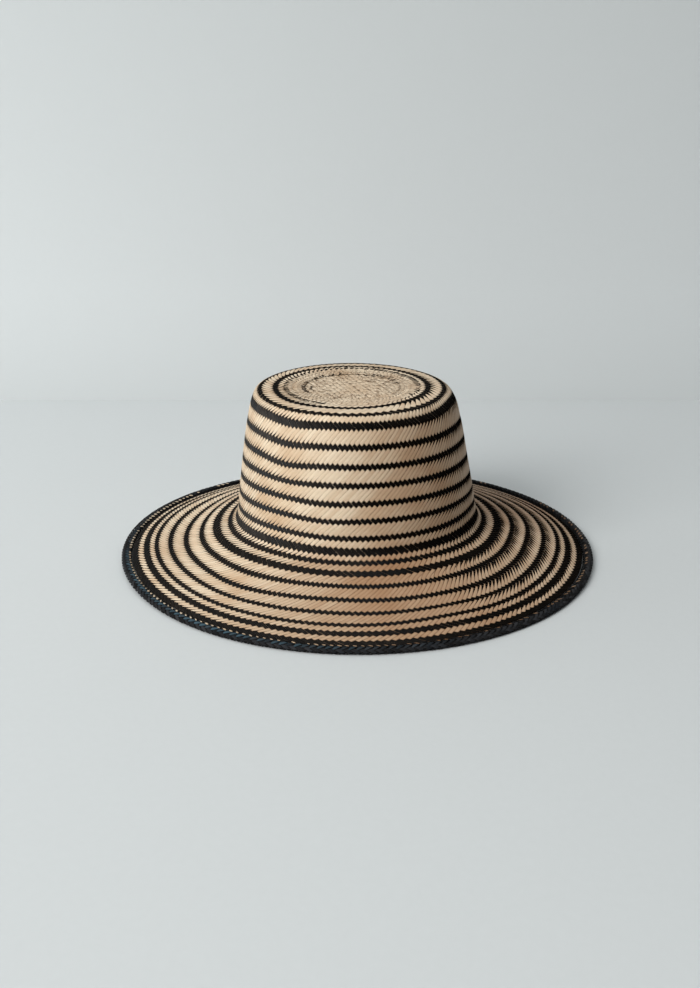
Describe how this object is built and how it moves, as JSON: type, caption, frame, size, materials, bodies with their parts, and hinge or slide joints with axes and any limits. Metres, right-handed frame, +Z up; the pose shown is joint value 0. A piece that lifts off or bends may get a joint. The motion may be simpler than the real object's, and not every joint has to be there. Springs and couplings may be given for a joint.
{
  "type": "straw hat",
  "caption": "Wide-brimmed plaited straw hat with a tall tapered flat-topped crown, black twill bands on natural straw and a thick black braided rim.",
  "frame": {"origin": "on the surface that the hat lies on, at the middle of the rim", "axes": "+Z up through the crown, -Y towards the front of the hat, +X to the right of someone who looks at the front"},
  "size_m": [0.366, 0.366, 0.131],
  "materials": {
    "plaited_straw": "natural palm straw in twill weave, crossed by bands of black dyed straw",
    "black_straw": "black dyed straw, plaited, with a dull sheen"
  },
  "bodies": {
    "root": {"plaited_body": "plaited_straw", "edge_braid": "black_straw"}
  },
  "joints": []
}
